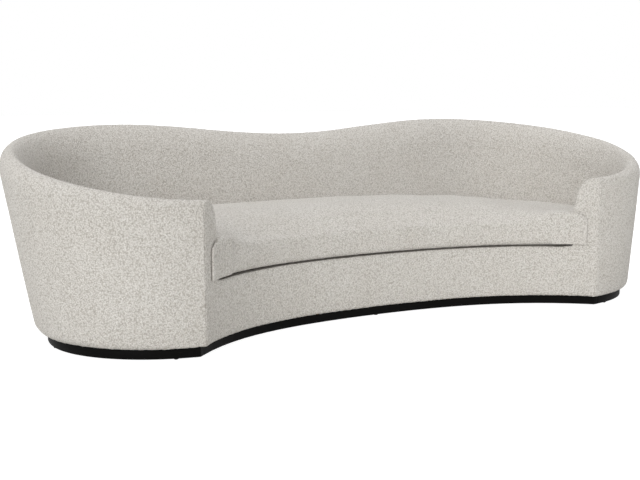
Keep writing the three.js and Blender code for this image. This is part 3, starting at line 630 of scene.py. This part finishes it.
def board_section(station):
    """A board of the plinth, with its edges eased at 45 degrees."""
    low, high, edge = GLIDE_TOP + FIT, PLINTH_TOP, PLINTH_EDGE
    return [
        (edge, low), (edge * 0.3, low + edge * 0.3), (0, low + edge), (0, high - edge),
        (edge * 0.3, high - edge * 0.3), (edge, high), (PLINTH_BOARD, high), (PLINTH_BOARD, low),
    ]


PLINTH_STEP = 12
boards = [("plinth_left_end", -FRONT, -BACK, -1), ("plinth_back", -BACK, BACK, 0),
          ("plinth_right_end", BACK, FRONT, 1)]
for name, low, high, hand in boards:
    bm = sweep(name, board_section, places(low, high, PLINTH_STEP), plinth_at)
    if hand:
        cut_front(bm, plinth_front_at(hand * PLINTH_HALF_WIDTH), PLINTH_BOARD + FIT)
    made = piece(name + "_board", bm, LACQUER, "frame", name)


# Remeshed pieces


def remeshed(bm, voxel, smoothing):
    """A bmesh turned into one even skin of small faces, with its edges softened."""
    mesh = bpy.data.meshes.new("rough")
    bm.to_mesh(mesh)
    bm.free()
    rough = bpy.data.objects.new("rough", mesh)
    bpy.context.scene.collection.objects.link(rough)
    skin = rough.modifiers.new("skin", "REMESH")
    skin.mode = "VOXEL"
    skin.voxel_size = voxel / 1000
    soft = rough.modifiers.new("soft", "SMOOTH")
    soft.iterations = smoothing
    bpy.context.view_layer.update()
    done = rough.evaluated_get(bpy.context.evaluated_depsgraph_get())
    made = bmesh.new()
    made.from_mesh(done.to_mesh())
    done.to_mesh_clear()
    bpy.data.objects.remove(rough)
    bpy.data.meshes.remove(mesh)
    return made


def copy_of(name):
    """A CAD node's solid as a bmesh, with its triangles joined."""
    bm = bmesh.new()
    bm.from_mesh(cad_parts[name].data)
    bmesh.ops.remove_doubles(bm, verts=bm.verts, dist=1e-6)
    return bm


# Front panel, which wraps round the arms' front corners and meets the outside panels behind them
STRIP_PLACES = (2.7, 3.1)
STRIP_SPACING = 4
STRIP_HEM_STEPS = 6
STRIP_TOP_STEPS = 8
FACING_VOXEL = 4
ROUNDED_DEPTH = 9
SEAT_EDGE_HEIGHT = 14
FACING_SMOOTHING = 4
SEAT_EDGE_SMOOTHING = 24
CORNER_X = 828


def strip_section(place):
    """The outer side of an arm's front: its hem, face and top."""
    hem = hem_radius(place)
    hem_z = PLINTH_TOP + hem
    radius, inset = top_radius(place), ridge_inset(place)
    top = crest_height(place) - radius
    return [*arc((hem, hem_z), (hem, hem), 270, 180, STRIP_HEM_STEPS),
            *arc((inset, top), (inset, radius), 180, 90, STRIP_TOP_STEPS), (inset, PLINTH_TOP)]


bm = copy_of("front_panel")
for hand in (-1, 1):
    near = front_at(hand * FRONT_HALF_WIDTH)
    ends = sorted(hand * place for place in STRIP_PLACES)
    strip = sweep("strip", strip_section, places(*ends, STRIP_SPACING), wall_at)
    cut_front(strip, near, 0)
    cut_front(strip, near, FACING_DEPTH, rear=True)
    join(bm, strip)
bm = remeshed(bm, FACING_VOXEL, 0)


def front_depth(spot):
    """How far a spot is behind the front."""
    near = front_at(spot.x)
    return (spot.y - near(0, 0).y) * (near(1, 0).y - near(0, 0).y)


rounded = [vert for vert in bm.verts if front_depth(vert.co * 1000 + Vector((0, CENTRE_Y, 0))) < ROUNDED_DEPTH]
seat_edge = [vert for vert in bm.verts
             if vert.co.z * 1000 > SEAT_RAIL_TOP - SEAT_EDGE_HEIGHT and abs(vert.co.x) * 1000 < CORNER_X]
for verts, rounds in [(rounded, FACING_SMOOTHING), (seat_edge, SEAT_EDGE_SMOOTHING)]:
    for i in range(rounds):
        bmesh.ops.smooth_vert(bm, verts=verts, factor=0.5, use_axis_x=True, use_axis_y=True, use_axis_z=True)
loops(bm)
front_panel = piece("front_panel_cloth", bm, BOUCLE, "frame", "front_panel")


# Cushion, whose crown runs along a bent line between the middles of the two round ends
SPINE_STEPS = 12
SPINE_REACH = 0.97
spine = []
middle_y = (front_at(0)(0, 0).y + FOOT["middle"] - BACK_WALL) / 2
for i in range(-SPINE_STEPS, SPINE_STEPS + 1):
    share = i / SPINE_STEPS
    spine.append(Vector((share * SPINE_REACH * FOOT["x"], mix(middle_y, FOOT["y"], share ** 2))))


def nearest_on_spine(point):
    """The point of the crown's line that is nearest to a point."""
    best = None
    for a, b in zip(spine, spine[1:]):
        run = b - a
        candidate = a + run * clamp((point - a).dot(run) / run.length_squared, 0, 1)
        if best is None or (candidate - point).length < (best - point).length:
            best = candidate
    return best


def wall_side(place, level):
    """The cushion's side at a place of the wall, at a level."""
    return wall_at(place)(wall_thickness(place) + CUSHION_CLEARANCE, level).xy


def front_side(x):
    """The cushion's front, which stands a little proud of the panel under it."""
    return front_at(x)(-CUSHION_PROUD, 0).xy


END_PLACE = 2.9
OUTLINE_SPACING = 20
wall_places = places(-END_PLACE, END_PLACE, OUTLINE_SPACING)


def seat_outline(level):
    """Outline of the seat at a level: round the inner face of the wall, then back along the front."""
    wall = [wall_side(place, level) for place in wall_places]
    corner = Vector((front_side(CORNER_X).x, wall_side(FRONT, level).y))
    reach = CORNER_X - CUSHION_CORNER
    front = [front_side(x) for x in steps(reach, -reach, OUTLINE_SPACING)]

    def bend(hand, end):
        tip = Vector((hand * corner.x, corner.y))
        start = Vector((hand * (corner.x + CUSHION_CORNER), corner.y))
        return [start.lerp(tip, t).lerp(tip.lerp(end, t), t) for t in (0, 0.25, 0.5, 0.75)]

    return [*wall, *bend(1, front[0]), *front, *reversed(bend(-1, front[-1]))]


low_outline = seat_outline(CUSHION_BOTTOM)
high_outline = seat_outline(CUSHION_BOTTOM + CUSHION_WALL_HEIGHT)
# Height of the cushion's edge by place along the wall, and of its crown by share along the spine, left to right: it
# is plumpest in the middle of the back and sinks at the round ends
WALL_HEIGHTS = [(-2.9, 146), (-2.2, 106), (-1.6, 116), (-1, 148), (0, 148), (1, 138), (1.6, 96), (2.2, 80),
                (2.9, 138)]
CROWN_HEIGHTS = [(-1, 184), (-0.6, 200), (0, 202), (0.3, 197), (0.7, 180), (0.9, 158), (1, 144)]


edge_heights = []
for i, spot in enumerate(low_outline):
    if i < len(wall_places):
        edge_heights.append(along(WALL_HEIGHTS, wall_places[i]))
    else:
        share = clamp((CORNER_X - abs(spot.x)) / CUSHION_FRONT_RISE, 0, 1)
        edge_heights.append(mix(CUSHION_WALL_HEIGHT, CUSHION_FRONT_HEIGHT, ease(share)))
# The side as (share of the height, way in as a share of the front's height), and the crown above it as (share of the
# way in to the crown's line, share of the rise)
SIDE_PROFILE = [(0, 0.24), (0.03, 0.16), (0.07, 0.1), (0.14, 0.05), (0.22, 0.02), (0.5, 0), (0.78, 0.02),
                (0.88, 0.05), (0.95, 0.1), (1, 0.2)]
CROWN_PROFILE = [(0.1, 0.27), (0.2, 0.5), (0.3, 0.66), (0.4, 0.79), (0.5, 0.88), (0.6, 0.93), (0.7, 0.96),
                 (0.8, 0.98), (0.9, 0.995), (0.98, 1)]
CROWN_LEAST_NORMAL = 0.9
CROWN_SMOOTHING = 30


def cushion_form(skin, lift=0):
    """The cushion's crowned form, a skin's thickness in from its outside and lifted off the deck."""
    start = SIDE_PROFILE[-1][1] * CUSHION_FRONT_HEIGHT
    levels = [(lambda edge, crown, share=share: mix(lift, edge - skin, share), inset * CUSHION_FRONT_HEIGHT, 0)
              for share, inset in SIDE_PROFILE]
    levels += [(lambda edge, crown, rise=rise: mix(edge, crown, rise) - skin, start, way_in)
               for way_in, rise in CROWN_PROFILE]

    def at(level):
        height_at, inset, way_in = levels[level]

        def point(i, unused):
            target = nearest_on_spine(low_outline[i])
            height = height_at(edge_heights[i], along(CROWN_HEIGHTS, target.x / spine[-1].x))
            edge = low_outline[i].lerp(high_outline[i], height / CUSHION_WALL_HEIGHT)
            run = target - edge
            moved = edge + run * min(mix(skin + inset, run.length, way_in) / run.length, 1)
            return Vector((moved.x, moved.y, CUSHION_BOTTOM + height))

        return point

    return sweep("cushion", lambda level: [(i, 0) for i in range(len(low_outline))], range(len(levels)), at)


def ear(hand):
    """The front corner of the cover, which runs on over the arm's front and ends in a round shoulder."""
    stations = [(EAR_END - EAR_ROOT, EAR_HEIGHT - EAR_ROOT_DROP)]
    for i in range(EAR_STEPS + 1):
        angle = i / EAR_STEPS * math.pi / 2
        height = mix(EAR_END_HEIGHT, EAR_HEIGHT, math.cos(angle))
        stations.append((EAR_END - EAR_SHOULDER * (1 - math.sin(angle)), height))

    def section(station):
        low = CUSHION_BOTTOM + EAR_LIFT * (EAR_END - station[0]) / EAR_ROOT
        top = CUSHION_BOTTOM + station[1]
        bottom_edge = [(back - CUSHION_PROUD, low + rise) for back, rise in EAR_BOTTOM_EDGE]
        top_edge = [(back - CUSHION_PROUD, top + rise) for back, rise in EAR_TOP_EDGE]
        return [*bottom_edge, *top_edge, (-EAR_CLEARANCE, top), (-EAR_CLEARANCE, low)]

    return sweep("ear", section, stations, lambda station: front_at(hand * station[0]))


SWELL_FRAMES = 20
SWELL_PRESSURE = 4
SWELL_VOXEL = 11
COVER_VOXEL = 6
COVER_SMOOTHING = 4
CORE_INSET = 12


def swollen(bm):
    """A closed form swollen by its filling: weightless cloth under pressure, which moves out by its slack at most."""
    mesh = bpy.data.meshes.new("slack")
    bm.to_mesh(mesh)
    bm.free()
    slack = bpy.data.objects.new("slack", mesh)
    bpy.context.scene.collection.objects.link(slack)
    cover = slack.modifiers.new("cover", "CLOTH")
    cover.settings.use_pressure = True
    cover.settings.uniform_pressure_force = SWELL_PRESSURE
    cover.settings.effector_weights.gravity = 0
    cover.point_cache.frame_end = SWELL_FRAMES
    for i in range(1, SWELL_FRAMES + 1):
        bpy.context.scene.frame_set(i)
    done = slack.evaluated_get(bpy.context.evaluated_depsgraph_get())
    made = bmesh.new()
    made.from_mesh(done.to_mesh())
    done.to_mesh_clear()
    for vert, start in zip(made.verts, mesh.vertices):
        swell = clamp((vert.co - start.co).dot(start.normal), 0, CUSHION_SLACK / 1000)
        vert.co = start.co + start.normal * swell
        vert.co.z = max(vert.co.z, CUSHION_BOTTOM / 1000)
    bpy.context.scene.frame_set(1)
    bpy.data.objects.remove(slack)
    bpy.data.meshes.remove(mesh)
    return made


bm = swollen(remeshed(cushion_form(CUSHION_SLACK), SWELL_VOXEL, 1))
for hand in (-1, 1):
    join(bm, ear(hand))
bm = remeshed(bm, COVER_VOXEL, COVER_SMOOTHING)
crown = [vert for vert in bm.verts if vert.normal.z > CROWN_LEAST_NORMAL]
for i in range(CROWN_SMOOTHING):
    bmesh.ops.smooth_vert(bm, verts=crown, factor=0.5, use_axis_z=True)
loops(bm)
cushion = piece("bench_cushion_cover", bm, BOUCLE, "cushion", "cushion_cover")

core = piece("bench_cushion_core", cushion_form(CORE_INSET, CORE_INSET), FOAM, "cushion", "cushion_core")


# Zip along the back of the cushion: its tape, a coil of teeth and a slider with a pull
ZIP_HALF_LENGTH = 450
ZIP_HEIGHT = CUSHION_BOTTOM + CUSHION_WALL_HEIGHT / 2
ZIP_TAPE_WIDTH = 26
ZIP_TAPE_SPACING = 12
TOOTH_PITCH = 4
COIL_REACH = 0.98
SLIDER_REACH = 0.97


def zip_at(place):
    """The cushion's back at a place, as a function from how far a point stands proud and how high it is."""
    near = wall_at(place)
    return lambda proud, z: near(wall_thickness(place) + CUSHION_CLEARANCE - proud, ZIP_HEIGHT + z)


def tape_section(place):
    """The zip's tape, a little thicker where its coil is sewn on."""
    half = ZIP_TAPE_WIDTH / 2
    return [(-1.5, -half), (1, -half), (1.3, -3), (1.3, 3), (1, half), (-1.5, half)]


def add_block(bm, near, middle, size, bevel):
    """A small block with eased edges, in the axes of the cushion's back at a place."""
    origin = near(*middle)
    out = (near(middle[0] + 1, middle[1]) - origin).normalized()
    side = Vector((0, 0, 1)).cross(out).normalized()
    up = out.cross(side)
    turn = Matrix((side, out, up)).transposed().to_4x4()
    place = Matrix.Translation(to_frame(*origin)) @ turn @ Matrix.Diagonal((*[edge / 1000 for edge in size], 1))
    made = bmesh.ops.create_cube(bm, size=1, matrix=place)["verts"]
    if bevel:
        edges = {edge for vert in made for edge in vert.link_edges}
        bmesh.ops.bevel(bm, geom=list(edges), offset=bevel / 1000, offset_type="OFFSET", segments=2, profile=0.5,
                        affect="EDGES", material=-1)


zip_end = max(place for place in wall_places if abs(wall_side(place, ZIP_HEIGHT).x) <= ZIP_HALF_LENGTH)
tape_places = places(-zip_end, zip_end, ZIP_TAPE_SPACING)
tape = piece("cushion_zip_tape", sweep("tape", tape_section, tape_places, zip_at), ZIP_TAPE,
             "cushion", "cushion_zip")
bm = bmesh.new()
for place in places(-zip_end * COIL_REACH, zip_end * COIL_REACH, TOOTH_PITCH):
    add_block(bm, zip_at(place), (1.6, 0), (2.2, 1.2, 5.5), 0)
coil = piece("cushion_zip_coil", bm, ZIP_COIL, "cushion")
bm = bmesh.new()
slider_at = zip_at(zip_end * SLIDER_REACH)
add_block(bm, slider_at, (1.9, 0), (13, 1.6, 9), 0.6)
add_block(bm, slider_at, (2.3, -12), (5, 0.8, 20), 0.3)
slider = piece("cushion_zip_slider", bm, ZIP_SLIDER, "cushion")

# Seat deck: a felt pad over the webbing
DECK_VOXEL = 7
bm = remeshed(copy_of("seat_platform"), DECK_VOXEL, 2)
deck = piece("seat_deck_felt", bm, FELT, "frame", "seat_platform")

# Dust cloth stapled under the base
bm = copy_of("dust_cover")
cloth_area = sum(face.calc_area() for face in bm.faces if abs(face.normal.z) > 0.9) / 2
dust_cloth = piece("dust_cloth_sheet", bm, DUST_CLOTH, "frame", "dust_cover")


# Floor, light and background
SOFT_WHITE = (1, 1, 1, 1)
WORLD_STRENGTH = 0.45
FLOOR_GLOW = 0.9
LAMP_ANGLE = 35


def seen_directly(tree):
    """1 for what the camera, a reflection or a clear surface sees, 0 for the light that falls on things."""
    path = add(tree, "ShaderNodeLightPath")
    either = add(tree, "ShaderNodeMath", {0: path.outputs["Is Camera Ray"], 1: path.outputs["Is Glossy Ray"]},
                 operation="MAXIMUM")
    return add(tree, "ShaderNodeMath", {0: either.outputs[0], 1: path.outputs["Is Transmission Ray"]},
               operation="MAXIMUM").outputs[0]


world = bpy.data.worlds.new("studio")
world.use_nodes = True
tree = world.node_tree
tree.nodes.clear()
strength = add(tree, "ShaderNodeMapRange", {"Value": seen_directly(tree), "To Min": WORLD_STRENGTH, "To Max": 1.0})
glow = add(tree, "ShaderNodeBackground", {"Color": SOFT_WHITE, "Strength": strength.outputs[0]})
add(tree, "ShaderNodeOutputWorld", {"Surface": glow.outputs[0]})
bpy.context.scene.world = world

paper = bpy.data.materials.new("white_paper_floor")
paper.use_nodes = True
tree = paper.node_tree
tree.nodes.clear()
matt = add(tree, "ShaderNodeBsdfDiffuse", {"Color": linear("#f2f2f0")})
lit = add(tree, "ShaderNodeBsdfDiffuse", {"Color": linear("#a8a8a8")})
own = add(tree, "ShaderNodeEmission", {"Color": SOFT_WHITE, "Strength": FLOOR_GLOW})
shown = add(tree, "ShaderNodeAddShader", {0: lit.outputs[0], 1: own.outputs[0]})
both = add(tree, "ShaderNodeMixShader", {0: seen_directly(tree), 1: matt.outputs[0], 2: shown.outputs[0]})
add(tree, "ShaderNodeOutputMaterial", {"Surface": both.outputs[0]})
bm = bmesh.new()
bmesh.ops.create_grid(bm, x_segments=1, y_segments=1, size=30)
floor_mesh = bpy.data.meshes.new("floor")
bm.to_mesh(floor_mesh)
bm.free()
floor = bpy.data.objects.new("floor", floor_mesh)
floor.data.materials.append(paper)
bpy.context.scene.collection.objects.link(floor)
floor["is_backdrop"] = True

# Large soft lamps far off: azimuth from the front towards the right, height and strength
lamps = [("key", -50, 20, 1.5), ("fill", 10, 20, 0.33), ("top", 180, 73, 1.33)]
for name, azimuth, height, strength in lamps:
    lamp = bpy.data.lights.new(name, "SUN")
    lamp.energy = strength
    lamp.angle = math.radians(LAMP_ANGLE)
    made = bpy.data.objects.new(name, lamp)
    turn, rise = math.radians(azimuth), math.radians(height)
    toward = Vector((math.sin(turn) * math.cos(rise), -math.cos(turn) * math.cos(rise), math.sin(rise)))
    made.rotation_mode = "QUATERNION"
    made.rotation_quaternion = (-toward).to_track_quat("-Z", "Y")
    bpy.context.scene.collection.objects.link(made)

bpy.context.scene.view_settings.view_transform = "Standard"

low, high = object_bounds()
